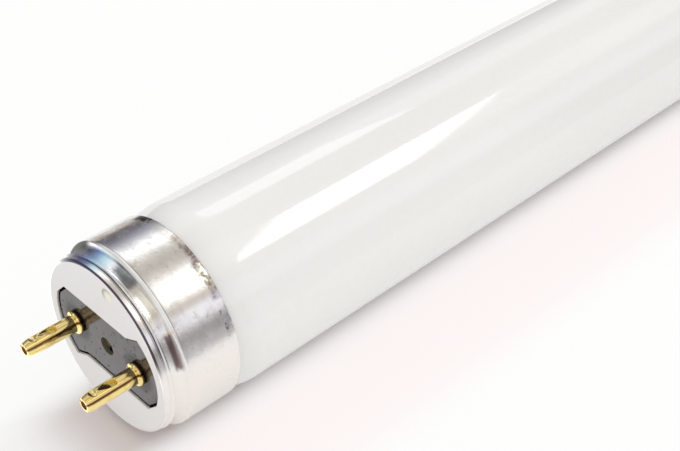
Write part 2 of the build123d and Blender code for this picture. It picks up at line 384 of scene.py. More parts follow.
# Colours round the cap, from the top to the front in degrees: painted reflection of blue and dark bands, and
# stains at the skirt's end painted in the colours of the bands they mirror
BLUE_REFLECTION_SHADES = (
    (-42.0, (0.75, 0.75, 0.7)),
    (-32.0, (0.26, 0.26, 0.3)),
    (-25.0, (0.08, 0.08, 0.14)),
    (-19.0, (0.09, 0.13, 0.3)),
    (-13.0, (0.26, 0.42, 0.78)),
    (-7.0, (0.58, 0.86, 1.0)),
    (2.0, (0.83, 0.94, 0.97)),
)
STAIN_AND_REFLECTION_SHADES = (
    (-25.0, (0.015, 0.01, 0.01)),
    (-12.0, (0.04, 0.038, 0.04)),
    (-6.0, (0.45, 0.44, 0.45)),
    (2.0, (0.8, 0.78, 0.74)),
    (10.0, (0.5, 0.43, 0.36)),
    (17.0, (0.24, 0.17, 0.15)),
    (27.0, (0.2, 0.14, 0.13)),
    (33.0, (0.3, 0.27, 0.18)),
    (44.0, (0.26, 0.21, 0.16)),
    (50.0, (0.3, 0.29, 0.38)),
    (57.0, (0.5, 0.5, 0.55)),
    (62.0, (0.14, 0.14, 0.19)),
    (71.0, (0.2, 0.19, 0.2)),
)

# Colours of the bare metal, the marks on it and the stakes, with the painted floor reflection, highlight and
# shade among them
FLOOR_REFLECTION_WARMTH = (0.95, 0.9, 0.87)
WORN_METAL = (0.5, 0.48, 0.46)
HIGHLIGHT_METAL = (0.9, 0.9, 0.89)
SHADED_BAND_TONE = (0.035, 0.04, 0.03)
SPECKS = (0.05, 0.045, 0.05)
LINE_SHADE = (0.06, 0.035, 0.07)
SCRATCH = (0.8, 0.6, 0.42)
STAKE_SHADE = (0.34, 0.31, 0.2)
STAKE_HIGHLIGHT = (1.0, 0.95, 0.68)


def cap_aluminium(settings):
    """Drawn aluminium: satin side with scuffs and stains, and a matt face, with painted reflection, highlight
    and shade in the bands, on the side and in the stakes.
    """
    material, shader, place = new_material("cap_aluminium")
    depth, radius, angle = lamp_places(place)
    face = fall(radius, 11.6, 11.7) * fall(depth, 0.35, 0.6)
    # painted highlight: a pale, less metallic line along the shoulder's start
    pale = window(depth, 3.02, 3.4, 0.06) * window(angle, -16.0, 58.0, 8.0) * 0.75
    # painted shade: the bands near the top darkened where they look dark
    shaded_band = window(depth, 1.75, 3.42, 0.1) * window(angle, -70.0, -27.0, 5.0) * 0.95
    scuffs = noise(place, 900.0, 5.0, 0.7, 0.3)
    smudges = noise(stretched(place, 300.0, 140.0, 140.0), 1.0, 4.0, 0.65)
    blue_reflection = blue_reflection_share(smudges, depth, angle)
    stain_and_reflection = skirt_stain_and_reflection(place, depth, angle)
    scratch = window(depth, 2.3, 4.0, 0.15) * window(angle, 54.2, 55.0, 0.3) * 0.8
    body = handled_metal(tuple(settings.metal), smudges, scuffs, angle)
    for share_of_tint, tint in (
        # painted reflection: blue and dark bands by angle round the cap
        (blue_reflection, shades(angle, BLUE_REFLECTION_SHADES)),
        *painted_band_reflections(smudges, depth, angle),
        (shaded_band, SHADED_BAND_TONE),
        (pale, HIGHLIGHT_METAL),
        # stains at the skirt's end, coloured by angle as painted reflection
        (stain_and_reflection, shades(angle, STAIN_AND_REFLECTION_SHADES)),
        (skirt_specks(place, depth, angle), SPECKS),
        (dark_lines(smudges, depth, radius, angle), LINE_SHADE),
        (scratch, SCRATCH),
    ):
        body = blend(share_of_tint, body, tint)
    feed(shader["Base Color"], blend(face, body, matt_face(settings, place)))
    # the metal is dulled under the stains and under the painted reflection and shade
    stain_reflection_and_shade = larger(larger(blue_reflection * 0.6, stain_and_reflection * 0.75), shaded_band)
    side_metal = calc("SUBTRACT", 1.0 - stain_reflection_and_shade, pale, clamp=True)
    feed(shader["Metallic"], calc("SUBTRACT", side_metal, face, clamp=True))
    feed(shader["Specular IOR Level"], calc("SUBTRACT", 0.5, larger(face, stain_reflection_and_shade) * 0.4, clamp=True))
    feed(shader["Specular Tint"], blend(stain_reflection_and_shade, (1.0, 1.0, 1.0), (0.2, 0.2, 0.25)))
    worn = ramp(scuffs, 0.4, 0.75, settings.skirt_roughness, settings.skirt_roughness + 0.12)
    dull_face = face * (settings.face_roughness - settings.skirt_roughness)
    feed(shader["Roughness"], calc("ADD", worn, dull_face, clamp=True))
    grain = bump(noise(place, 2600.0, 3.0, 0.6), 0.000012, 0.7)
    drawn_lines = noise(stretched(place, 7000.0, 160.0, 160.0), 1.0, 2.0)
    feed(shader["Normal"], bump(drawn_lines, 0.000003, 0.6, grain))
    return material


def handled_metal(metal, smudges, scuffs, angle):
    """The bare side with a painted warm reflection of the floor towards the bottom, smudged and scuffed where
    hands have been.
    """
    handled = window(angle, -30.0, 72.0, 5.0)
    body = blend(ramp(angle, 60.0, 88.0), metal, FLOOR_REFLECTION_WARMTH)
    body = blend(handled * ramp(smudges, 0.42, 0.66), body, tinted(metal, 0.86))
    return blend(handled * ramp(scuffs, 0.54, 0.7) * 0.6, body, WORN_METAL)


def blue_reflection_share(smudges, depth, angle):
    """Where the bands between the face and the skirt get their painted blue and dark reflection."""
    return window(angle, -40.0, 2.0, 4.0) * fall(depth, 2.95, 3.15) * ramp(smudges, 0.3, 0.6, 0.8, 1.0)


def painted_band_reflections(smudges, depth, angle):
    """Shares and colours of painted reflection round the cap: darker and paler mottled patches by angle on
    the bands and the skirt.
    """
    mottle = ramp(smudges, 0.32, 0.6, 0.6, 1.0)
    ragged = angle + (smudges - 0.5) * 14.0
    rim = fall(depth, 0.9, 1.0)
    band = window(depth, 1.62, 2.98, 0.08) * mottle
    band_end = window(depth, 2.2, 3.04, 0.2) * mottle
    skirt = ramp(depth, 3.4, 3.6)
    return (
        (window(angle, -20.0, -7.0, 4.0) * rim * 0.55, (0.1, 0.1, 0.2)),
        (window(ragged, 4.5, 23.0, 3.0) * band * 0.97, (0.18, 0.2, 0.225)),
        (window(ragged, 24.0, 44.0, 2.5) * band * 0.8, (0.6, 0.57, 0.51)),
        (window(ragged, 56.0, 78.0, 2.0) * band_end * 0.9, (0.17, 0.1, 0.1)),
        (window(ragged, -29.0, -18.0, 3.0) * skirt * mottle * 0.75, (0.42, 0.34, 0.27)),
        (window(ragged, -18.0, -5.0, 3.0) * skirt * mottle * 0.4, (0.52, 0.46, 0.56)),
        (window(angle, 44.0, 48.0, 1.5) * skirt * 0.35, (0.6, 0.52, 0.44)),
    )


def skirt_stain_and_reflection(place, depth, angle):
    """Brown and olive stains along the skirt's end, coloured by angle as painted reflection of the bands,
    with a solid stretch of painted dark reflection near the top.
    """
    ragged_depth = depth + (noise(place, 420.0, 4.0, 0.65) - 0.5) * 2.4
    mottle = ramp(noise(place, 1300.0, 4.0, 0.7), 0.36, 0.6, 0.35, 1.0)
    solid_dark_reflection = window(angle, -25.0, -14.0, 2.0)
    zones = larger(window(angle, -25.0, 51.0, 2.0), window(angle, 58.0, 72.0, 2.0) * 0.7)
    return ramp(ragged_depth, 9.2, 10.0) * zones * larger(mottle, solid_dark_reflection)


def skirt_specks(place, depth, angle):
    """Dark specks on the lower part of the skirt's end."""
    spots = ramp(noise(place, 800.0, 3.0, 0.6), 0.55, 0.61)
    return spots * window(depth, 9.7, 10.8, 0.25) * window(angle, 56.0, 86.0, 2.0) * 0.85


def dark_lines(smudges, depth, radius, angle):
    """Thin lines of painted shade round the face's rounded edge, along the bead and behind the shoulder."""
    broken = ramp(smudges, 0.3, 0.55, 0.65, 1.0)
    edge = window(radius, 11.7, 12.0, 0.03) * fall(depth, 0.16, 0.24) * window(angle, -30.0, 72.0, 8.0)
    bead = window(depth, 0.95, 1.06, 0.03) * window(angle, -28.0, 68.0, 8.0) * broken
    shoulder = window(depth, 3.4, 3.5, 0.03) * window(angle, -12.0, 62.0, 6.0) * broken * 0.6
    return larger(larger(edge, bead), shoulder) * 0.95


def matt_face(settings, place):
    """The matt face's colour, with a painted cream highlight on the floor of each stake and painted grey
    shade round one side of its edge.
    """
    x, y, z = split(place)
    across = y * calc("SIGN", x) * calc("SIGN", z)
    stake_y, stake_z = settings.stake_y / MM, settings.stake_z / MM

    def from_stake(beside, below):
        """Distance in millimetres from a point beside and below a stake's middle."""
        return distance(across / MM - (stake_y + beside), abs(z) / MM - (stake_z - below))

    # painted shade on one side of the stake's edge, and a painted highlight on its floor
    ring = window(from_stake(0.0, 0.0), 0.68, 1.0, 0.18) * ramp(from_stake(0.4, 0.4), 0.7, 1.5) * 0.85
    body = blend(ring, tuple(settings.matt), STAKE_SHADE)
    return blend(fall(from_stake(0.12, 0.1), 0.3, 0.75), body, STAKE_HIGHLIGHT)


def pin_brass(settings):
    """Drawn brass with tarnish, dark, olive and orange streaks of painted reflection along the barrel, and
    painted shade in the mouth, on the wire's end and in the crimps.
    """
    material, shader, place = new_material("pin_brass")
    brass = tuple(settings.brass)
    browned = tinted(brass, 0.78, 0.58, 0.3)
    dark = tinted(brass, 0.16, 0.07, 0.02)
    _, y, z = split(place)
    beside = calc("SIGN", y) * (PIN_SPACING / 2) - y
    angle = calc("DEGREES", calc("ARCTAN2", beside, z))
    tarnish = noise(place, 900.0, 4.0, 0.65)
    hollow, crimped, wire = (
        source(place.tree, "ShaderNodeAttribute", "Fac", attribute_name=name)
        for name in ("hollow", "crimped", "wire_end")
    )
    body = brass
    for share_of_tint, tint in (
        (ramp(tarnish, 0.5, 0.72) * 0.7, browned),
        # painted reflection: dark, olive and orange streaks by angle round each pin
        (window(angle, -80.0, -44.0, 4.0) * 0.95, dark),
        (window(angle, -5.0, 3.0, 3.0) * 0.75, (0.26, 0.24, 0.06)),
        (window(angle, 28.0, 33.0, 2.0) * 0.8, (0.5, 0.24, 0.04)),
        (window(angle, 50.0, 64.0, 3.0) * 0.95, dark),
        # painted shade in the mouth, in the crimps and on the wire's end
        (hollow, dark),
        (crimped * 0.7, (0.55, 0.42, 0.09)),
        (wire, (0.05, 0.035, 0.03)),
    ):
        body = blend(share_of_tint, body, tint)
    feed(shader["Base Color"], body)
    feed(shader["Metallic"], 1.0)
    feed(shader["Roughness"], ramp(tarnish, 0.4, 0.75, settings.roughness, settings.roughness + 0.12))
    drawn_lines = noise(stretched(place, 700.0, 9000.0, 9000.0), 1.0, 2.0)
    feed(shader["Normal"], bump(drawn_lines, 0.000004, 0.5))
    return material


def plate_plastic(settings):
    """Dark moulded plastic with a glossy skin, dust, small specks, painted shade round the pins and a painted
    lit side and shade in the dimple.
    """
    material, shader, place = new_material("insulator_plastic")
    depth, radius, angle = lamp_places(place)
    _, y, z = split(place)
    plastic = tuple(settings.plastic)
    dusty = tuple(channel * 1.3 + 0.012 for channel in plastic)
    mottle = noise(place, 500.0, 4.0, 0.6)
    specks = ramp(noise(place, 1500.0, 2.0, 0.5), 0.62, 0.68)
    rust = ramp(noise(place, 780.0, 2.0, 0.5), 0.64, 0.7)
    # painted shade: a darker, less glossy ring on the plate round each pin
    pin_shade = fall(distance(abs(y) - PIN_SPACING / 2, z), 2.0 * MM, 3.3 * MM)
    # painted light and shade in the dimple: an olive lit side and a near-black shaded wall
    dimple_lit_side = larger(fall(depth, 0.7, 0.84), window(angle, -150.0, -60.0, 15.0))
    in_dimple = fall(radius, 1.26, 1.3) * ramp(depth, 0.26, 0.3)
    body = plastic
    for share_of_tint, tint in (
        (ramp(mottle, 0.4, 0.7), dusty),
        (specks, (0.012, 0.008, 0.01)),
        (rust * 0.7, (0.16, 0.03, 0.04)),
        (pin_shade * 0.85, (0.012, 0.007, 0.008)),
        (in_dimple, blend(dimple_lit_side, (0.006, 0.005, 0.005), (0.15, 0.135, 0.08))),
    ):
        body = blend(share_of_tint, body, tint)
    feed(shader["Base Color"], body)
    rough = ramp(mottle, 0.3, 0.7, settings.roughness * 0.85, settings.roughness * 1.3)
    feed(shader["Roughness"], rough + specks * 0.4)
    gloss = blend(pin_shade, (0.3, 0.3, 0.3), (0.13, 0.13, 0.13))
    feed(shader["Specular IOR Level"], blend(in_dimple, gloss, (0.05, 0.05, 0.05)))
    feed(shader["Normal"], bump(noise(place, 300.0, 2.0), 0.00001, 0.4))
    return material


def capping_cement(settings):
    """Chalky cement with a grainy skin."""
    material, shader, place = new_material("capping_cement")
    cement = tuple(settings.cement)
    grains = noise(place, 1400.0, 5.0, 0.7)
    feed(shader["Base Color"], blend(ramp(grains, 0.35, 0.65), cement, tinted(cement, 1.35)))
    feed(shader["Roughness"], ramp(grains, 0.3, 0.7, 0.75, 0.95))
    feed(shader["Normal"], bump(grains, 0.00008, 0.8))
    return material


def lead_wire_metal(settings):
    """Drawn nickel-iron wire, lightly oxidised."""
    material, shader, place = new_material("lead_wire")
    wire = tuple(settings.wire)
    oxide = noise(place, 1200.0, 4.0, 0.6)
    feed(shader["Base Color"], blend(ramp(oxide, 0.45, 0.7), wire, tinted(wire, 0.6)))
    feed(shader["Metallic"], 1.0)
    feed(shader["Roughness"], ramp(oxide, 0.4, 0.7, 0.28, 0.45))
    feed(shader["Normal"], bump(oxide, 0.00001, 0.5))
    return material


# Mesh helpers

def mesh_object(name, points, faces, smooth=True):
    """A new object at the origin with its mesh in the lamp's frame."""
    mesh = bpy.data.meshes.new(name)
    mesh.from_pydata(points, [], faces)
    mesh.validate()
    if smooth:
        mesh.shade_smooth()
    mesh.update()
    piece = bpy.data.objects.new(name, mesh)
    bpy.context.scene.collection.objects.link(piece)
    return piece


def rounded(corners, steps=6):
    """Line through (x, r, radius) corners, each rounded by an arc of its radius."""
    line = []
    for index, (x, r, radius) in enumerate(corners):
        here = Vector((x, r))
        if radius <= 0 or index in (0, len(corners) - 1):
            line.append((x, r))
            continue
        back = (Vector(corners[index - 1][:2]) - here).normalized()
        ahead = (Vector(corners[index + 1][:2]) - here).normalized()
        half = back.angle(ahead) / 2
        reach = radius / math.tan(half)
        centre = here + (back + ahead).normalized() * (radius / math.sin(half))
        start = here + back * reach - centre
        end = here + ahead * reach - centre
        sweep = start.angle_signed(end)
        for step in range(steps + 1):
            spoke = start.copy()
            spoke.rotate(Matrix.Rotation(-sweep * step / steps, 2))
            line.append(tuple(centre + spoke))
    return line


def s_curve(start, end, steps):
    """Points between start and end that leave and arrive along the axis, without the start."""
    points = []
    for step in range(1, steps + 1):
        along = step / steps
        rise = 2 * along**2 if along < 0.5 else 1 - 2 * (1 - along) ** 2
        points.append((start[0] + (end[0] - start[0]) * along, start[1] + (end[1] - start[1]) * rise))
    return points


def evenly(start, end, steps):
    """Points on the straight line from start to end, without the start."""
    return [
        (start[0] + (end[0] - start[0]) * step / steps, start[1] + (end[1] - start[1]) * step / steps)
        for step in range(1, steps + 1)
    ]


def ring_faces(columns, rows, closed):
    """Quads between neighbouring columns of a grid that goes round the axis."""
    faces = []
    last_row = rows if closed else rows - 1
    for column in range(columns):
        here = column * rows
        beside = (column + 1) % columns * rows
        for row in range(last_row):
            ahead = (row + 1) % rows
            faces.append((here + row, here + ahead, beside + ahead, beside + row))
    return faces


def finished(host, name, material, nodes):
    """Turns a host with live nodes into a plain piece that rides on the lamp and replaces CAD nodes."""
    view_layer = bpy.context.view_layer
    view_layer.update()
    evaluated = host.evaluated_get(bpy.context.evaluated_depsgraph_get())
    mesh = bpy.data.meshes.new_from_object(evaluated)
    mesh.name = name
    host.modifiers.clear()
    bpy.data.objects.remove(host)
    piece = bpy.data.objects.new(name, mesh)
    bpy.context.scene.collection.objects.link(piece)
    dress(piece, material, nodes)
    return piece


def dress(piece, material, nodes):
    """Gives a new piece its material, puts it on the body and hides the CAD nodes that it replaces."""
    piece.data.materials.clear()
    piece.data.materials.append(material)
    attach(piece, BODY)
    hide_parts(*nodes)


# Geometry Nodes helpers

def new_tree(name, floats=(), whole=(), objects=()):
    """A Geometry Nodes tree with its named inputs, and those inputs as Values."""
    tree = bpy.data.node_groups.new(name, "GeometryNodeTree")
    face = tree.interface
    face.new_socket("Geometry", in_out="INPUT", socket_type="NodeSocketGeometry")
    for kind, names in (("NodeSocketObject", objects), ("NodeSocketFloat", floats), ("NodeSocketInt", whole)):
        for socket_name in names:
            face.new_socket(socket_name, in_out="INPUT", socket_type=kind)
    face.new_socket("Geometry", in_out="OUTPUT", socket_type="NodeSocketGeometry")
    outputs = add_node(tree, "NodeGroupInput").outputs
    return tree, {socket.name: Value(tree, socket) for socket in outputs if socket.name}


def end_tree(tree, geometry, material):
    """Ends a tree in smooth shading, Realize Instances and Set Material."""
    smooth = add_node(tree, "GeometryNodeSetShadeSmooth")
    real = add_node(tree, "GeometryNodeRealizeInstances")
    painted = add_node(tree, "GeometryNodeSetMaterial")
    feed(painted.inputs["Material"], material)
    result = add_node(tree, "NodeGroupOutput")
    join(
        tree,
        (geometry, smooth.inputs[0]),
        (smooth.outputs[0], real.inputs[0]),
        (real.outputs[0], painted.inputs["Geometry"]),
        (painted.outputs[0], result.inputs[0]),
    )


def host_with(tree, values):
    """An empty mesh object with the tree as its modifier and its inputs set by identifier."""
    host = mesh_object("host", [], [], smooth=False)
    modifier = host.modifiers.new("Shape", "NODES")
    modifier.node_group = tree
    for item in tree.interface.items_tree:
        if item.item_type == "SOCKET" and item.in_out == "INPUT" and item.name in values:
            modifier[item.identifier] = values[item.name]
    return host


# Glass tube

def tube_tree(material):
    """Geometry Nodes for a round tube with a rounded, narrower neck at each end."""
    sizes = ("Half length", "Radius", "Neck radius", "Neck round", "Shoulder start", "Shoulder length")
    tree, given = new_tree("Glass tube", floats=sizes, whole=("Rings", "Segments"))
    place = source(tree, "GeometryNodeInputIndex") / (given["Rings"] - 1.0) * 2.0 - 1.0
    from_end = given["Half length"] * calc("POWER", 1.0 - abs(place), 3.0)
    x = calc("SIGN", place) * (given["Half length"] - from_end)
    start = given["Shoulder start"]
    widening = ramp(from_end, start, start + given["Shoulder length"], given["Neck radius"], given["Radius"])
    curl = given["Neck round"]
    inside = larger(curl - from_end, 0.0)
    outline = widening - (curl - calc("SQRT", curl * curl - inside * inside))
    line = add_node(tree, "GeometryNodeCurvePrimitiveLine")
    feed(line.inputs["Start"], (-1.0, 0.0, 0.0))
    feed(line.inputs["End"], (1.0, 0.0, 0.0))
    resampled = add_node(tree, "GeometryNodeResampleCurve")
    feed(resampled.inputs["Count"], given["Rings"])
    point = add_node(tree, "ShaderNodeCombineXYZ")
    feed(point.inputs["X"], x)
    placed = add_node(tree, "GeometryNodeSetPosition")
    circle = add_node(tree, "GeometryNodeCurvePrimitiveCircle")
    feed(circle.inputs["Radius"], 1.0)
    feed(circle.inputs["Resolution"], given["Segments"])
    swept = add_node(tree, "GeometryNodeCurveToMesh")
    feed(swept.inputs["Scale"], outline)
    feed(swept.inputs["Fill Caps"], True)
    join(
        tree,
        (line.outputs[0], resampled.inputs["Curve"]),
        (resampled.outputs[0], placed.inputs["Geometry"]),
        (point.outputs[0], placed.inputs["Position"]),
        (placed.outputs[0], swept.inputs["Curve"]),
        (circle.outputs[0], swept.inputs["Profile Curve"]),
    )
    end_tree(tree, swept.outputs[0], material)
    return tree


class LAMP_OT_glass_tube(Operator):
    """Make the white-coated glass tube with Geometry Nodes"""

    bl_idname = "lamp.glass_tube"
    bl_label = "Glass tube"

    def execute(self, context):
        settings = context.scene.lamp_glass
        material = coated_glass(settings)
        sizes = {
            "Half length": settings.half_length,
            "Radius": settings.radius,
            "Neck radius": settings.neck_radius,
            "Neck round": settings.neck_round,
            "Shoulder start": settings.shoulder_start,
            "Shoulder length": settings.shoulder_length,
            "Rings": settings.rings,
            "Segments": settings.segments,
        }
        host = host_with(tube_tree(material), sizes)
        finished(host, "coated_tube", material, ["glass_tube"])
        return {"FINISHED"}


# Caps

def opening_outline(settings, arc_steps=40):
    """Corner points of the opening as (y, z), and the round ends as short runs."""
    outline = []
    corners = []
    for side in (1, -1):
        flare_turn = math.asin(settings.flare_z / settings.arc_radius)
        cut_turn = math.asin(settings.cut_z / settings.arc_radius)
        edge = side * settings.half_height
        run = [(side * settings.cut_y, edge), (-side * settings.flare_y, edge)]
        corners += run
        for step in range(arc_steps + 1):
            turn = flare_turn - (flare_turn + cut_turn) * step / arc_steps
            y = settings.arc_centre + settings.arc_radius * math.cos(turn)
            run.append((-side * y, side * settings.arc_radius * math.sin(turn)))
        corners += [run[2], run[-1]]
        outline += run
    return outline, corners


def radius_towards(outline, angle):
    """Distance from the axis to the outline, at an angle from +Z towards -Y."""
    across = (math.cos(angle), math.sin(angle))
    for (y0, z0), (y1, z1) in zip(outline, outline[1:] + outline[:1]):
        first = y0 * across[0] + z0 * across[1]
        second = y1 * across[0] + z1 * across[1]
        if first * second > 0 or first == second:
            continue
        part = first / (first - second)
        y = y0 + (y1 - y0) * part
        z = z0 + (z1 - z0) * part
        outward = -y * math.sin(angle) + z * math.cos(angle)
        if outward > 0:
            return outward
    raise ValueError("the opening does not go round the axis")


def cap_side(settings):
    """Outside of the sheet from the rim's edge to the end of the skirt, as (depth, radius)."""
    rim = settings.rim_radius
    band_start = settings.bead_at + settings.bead_width / 2
    band_end = settings.shoulder_start
    line = rounded([
        (0.0, rim - 1.0 * MM, 0.0),
        (0.0, rim, settings.rim_edge),
        (settings.groove_at - settings.groove_depth, rim, 0.12 * MM),
        (settings.groove_at, rim - settings.groove_depth, 0.07 * MM),
        (settings.bead_at, rim + settings.bead_height, 0.08 * MM),
        (band_start, rim, 0.06 * MM),
        (band_start + 0.2 * MM, rim, 0.0),
    ])[1:]
    line.pop()
    for step in range(1, 9):
        along = step / 8
        hollow = settings.band_hollow * 4 * along * (1 - along)
        line.append((band_start + 0.08 * MM + (band_end - band_start - 0.08 * MM) * along, rim - hollow))
    skirt = settings.skirt_radius
    shoulder_end = band_end + settings.shoulder_length
    line += s_curve((band_end, rim), (shoulder_end, skirt), 12)
    edge = 0.1 * MM
    line += evenly((shoulder_end, skirt), (settings.depth - edge, skirt), 20)
    line += [(settings.depth - 0.03 * MM, skirt - 0.03 * MM), (settings.depth, skirt - edge)]
    return line


def cap_inside(settings):
    """Inside of the sheet from the skirt's end to the back of the face, as (depth, radius)."""
    wall = settings.wall
    skirt = settings.skirt_radius - wall
    rim = settings.rim_radius - wall
    band_end = settings.shoulder_start
    shoulder_end = band_end + settings.shoulder_length
    line = [(settings.depth, skirt)]
    line += evenly((settings.depth, skirt), (shoulder_end, skirt), 4)
    line += s_curve((shoulder_end, skirt), (band_end, rim), 6)
    line += evenly((band_end, rim), (wall, rim), 4)
    return line


def stake_dip(settings, y, z, extra):
    """How far the stake pushes the face in at a point, for a ball grown by an extra radius."""
    ball = settings.stake_radius + extra
    centre = settings.stake_depth - settings.stake_radius
    deepest = 0.0
    for side in (1, -1):
        square = (y - side * settings.stake_y) ** 2 + (z + side * settings.stake_z) ** 2
        if square < ball**2:
            deepest = max(deepest, centre + math.sqrt(ball**2 - square))
    return deepest


def cap_piece(settings, name, towards):
    """One cap with its opening and stakes; towards is 1 for the near end and -1 for the far end."""
    outline, corners = opening_outline(settings)
    turns = [math.tau * step / settings.columns for step in range(settings.columns)]
    turns += [math.atan2(-y, z) % math.tau for y, z in corners]
    turns = sorted(turns)
    side = cap_side(settings)
    inside = cap_inside(settings)
    wall = settings.wall
    edge = 0.05 * MM
    face_rim = settings.rim_radius - settings.rim_edge
    back_rim = settings.rim_radius - wall
    points = []
    for turn in turns:
        hole = radius_towards(outline, turn)
        line = [(wall - edge, hole), (edge, hole), (0.3 * edge, hole + 0.3 * edge), (0.0, hole + edge)]
        line += evenly((0.0, hole + edge), (0.0, face_rim), 36)
        line += side[1:]
        line += inside
        line += evenly((wall, back_rim), (wall, hole + edge), 24)
        for depth, radius in line:
            y, z = -radius * math.sin(turn), radius * math.cos(turn)
            if depth == 0.0:
                depth = max(depth, stake_dip(settings, y, z, 0.0))
            elif depth == wall:
                depth = max(depth, stake_dip(settings, y, z, wall))
            points.append((towards * (depth - FACE_X), towards * y, z))
    rows = len(points) // len(turns)
    faces = ring_faces(len(turns), rows, closed=True)
    return mesh_object(name, points, faces)


class LAMP_OT_caps(Operator):
    """Make the aluminium cap on each end"""

    bl_idname = "lamp.caps"
    bl_label = "Caps"

    def execute(self, context):
        settings = context.scene.lamp_cap
        material = cap_aluminium(settings)
        for end, towards in ENDS.items():
            piece = cap_piece(settings, f"{end}_cap", towards)
            dress(piece, material, [f"{end}_cap_shell"])
        return {"FINISHED"}


# Contact pins

def pin_line(settings):
    """Outside of a pin on the axis from the wire's end to the riveted tail, as (depth, radius)."""
    tip = -settings.reach
    barrel = settings.radius
    crimped = barrel - settings.draft
    shank = settings.shank_radius
    collar = settings.collar_radius
    collar_front = settings.seat - settings.collar_width
    line = [(tip + 0.12 * MM, 0.0), (tip + 0.12 * MM, settings.wire_radius * 0.8),
            (tip + 0.15 * MM, settings.wire_radius), (tip + settings.mouth_depth, settings.wire_radius)]
    line += rounded([
        (tip + settings.mouth_depth, settings.wire_radius, 0.0),
        (tip + settings.mouth_depth, settings.wire_radius + 0.1 * MM, 0.0),
        (tip, settings.mouth_radius, 0.04 * MM),
        (tip, settings.nose_radius, 0.14 * MM),
        (tip + settings.nose_taper, crimped, 0.6 * MM),
        (tip + settings.nose_taper + 1.0 * MM, crimped, 0.0),
    ])[1:-1]
    foot = tip + settings.foot_start
    line += evenly((line[-1][0], crimped), (foot, barrel), 92)
    line += evenly((foot, barrel), (collar_front - 0.15 * MM, barrel), 12)
    line += rounded([
        (collar_front - 0.15 * MM, barrel, 0.0),
        (collar_front, barrel, 0.14 * MM),
        (collar_front + 0.08 * MM, collar, 0.3 * MM),
        (settings.seat - 0.02 * MM, collar, 0.3 * MM),
        (settings.seat, collar - 0.36 * MM, 0.0),
    ])[1:]
    tail_start = settings.tail_end - 0.5 * MM
    line += [(settings.seat, shank), (tail_start, shank), (tail_start, settings.tail_radius)]
    flat = 0.7 * MM
    for step in range(1, 9):
        turn = math.pi / 2 * step / 8
        depth = tail_start + 0.5 * MM * math.sin(turn)
        line.append((depth, flat + (settings.tail_radius - flat) * math.cos(turn)))
    line.append((settings.tail_end, 0.0))
    return line


# Start, foot and end of each crimp from the tip, and its depth, in millimetres
CRIMPS = ((1.9, 4.25, 4.6, 0.6), (0.7, 1.45, 1.8, 0.24))

# The painted shade in the heel of the long crimp, from the tip and under the barrel, in millimetres
HEEL_START = 3.85
HEEL_END = 4.4
HEEL_LEAST_DEPTH = 0.25

# Where the painted shade in the crimps starts, from the tip and under the barrel, and its growth, in
# millimetres
TINT_FROM_TIP = 1.0
TINT_LEAST_DEPTH = 0.05
TINT_GROWTH = 0.35

# How far past the mouth and the wire a point still counts as on them
SLACK = 0.02 * MM


def from_tip(settings, depth):
    """Distance of a depth from the pin's tip, in millimetres."""
    return (depth + settings.reach) / MM


def crimp_floor(settings, depth):
    """A crimp's floor at a depth, as its distance from the axis and its half width, or None outside."""
    place = from_tip(settings, depth)
    for start, foot, end, press in CRIMPS:
        if start < place < end:
            if place < foot:
                sunk = math.sin(math.pi / 2 * (place - start) / (foot - start)) ** 1.2
            else:
                sunk = math.cos(math.pi / 2 * (place - foot) / (end - foot)) ** 0.8
            return settings.radius - press * MM * sunk, settings.crimp_half_width * sunk**0.6
    return None


def pressed(settings, depth, y, z):
    """Height of a point of the barrel after it is moved down to the floor of a crimp."""
    crimp = crimp_floor(settings, depth)
    if crimp is None:
        return z
    floor, half_width = crimp
    if abs(z) <= floor or abs(y) >= half_width:
        return z
    part = min(1.0, 1.7 * (1 - (y / half_width) ** 2))
    return math.copysign(abs(z) + (floor - abs(z)) * part * part * (3 - 2 * part), z)


def pin_form(settings):
    """One pin with its foot on X = 0, pointing towards -X."""
    line = pin_line(settings)
    rows = line[1:-1]
    points = [(line[0][0], 0.0, 0.0)]
    for column in range(settings.segments):
        turn = math.tau * column / settings.segments
        for depth, radius in rows:
            y = -radius * math.sin(turn)
            points.append((depth, y, pressed(settings, depth, y, radius * math.cos(turn))))
    rings = ring_faces(settings.segments, len(rows), closed=False)
    faces = [tuple(corner + 1 for corner in face) for face in rings]
    points.append((line[-1][0], 0.0, 0.0))
    last = len(points) - 1
    for column in range(settings.segments):
        here = 1 + column * len(rows)
        beside = 1 + (column + 1) % settings.segments * len(rows)
        faces.append((0, here, beside))
        faces.append((last, beside + len(rows) - 1, here + len(rows) - 1))
    form = mesh_object("pin_form", points, faces)
    for name, shade in (("wire_end", wire_shade), ("hollow", hollow_shade), ("crimped", crimp_shade)):
        attribute = form.data.attributes.new(name, "FLOAT", "POINT")
        for vertex in form.data.vertices:
            off_axis = math.hypot(vertex.co.y, vertex.co.z)
            attribute.data[vertex.index].value = shade(settings, vertex.co.x, off_axis)
    return form


def in_mouth(settings, depth):
    """Whether a depth lies in the opening of the tip."""
    return depth < -settings.reach + settings.mouth_depth + SLACK


def wire_shade(settings, depth, off_axis):
    """1 on the end of the wire and 0 elsewhere."""
    return 1.0 if in_mouth(settings, depth) and off_axis < settings.wire_radius + SLACK else 0.0


def hollow_shade(settings, depth, off_axis):
    """How much painted shade a point gets for lying in the mouth or deep under the heel of the long crimp."""
    if in_mouth(settings, depth) and off_axis < settings.mouth_radius + SLACK / 2:
        return 1.0
    place = from_tip(settings, depth)
    sunk = (settings.radius - off_axis) / MM
    if not HEEL_START < place < HEEL_END or sunk < HEEL_LEAST_DEPTH:
        return 0.0
    return 0.6 * min(1.0, (sunk - HEEL_LEAST_DEPTH) / 0.2) * min(1.0, (place - HEEL_START) / 0.3)


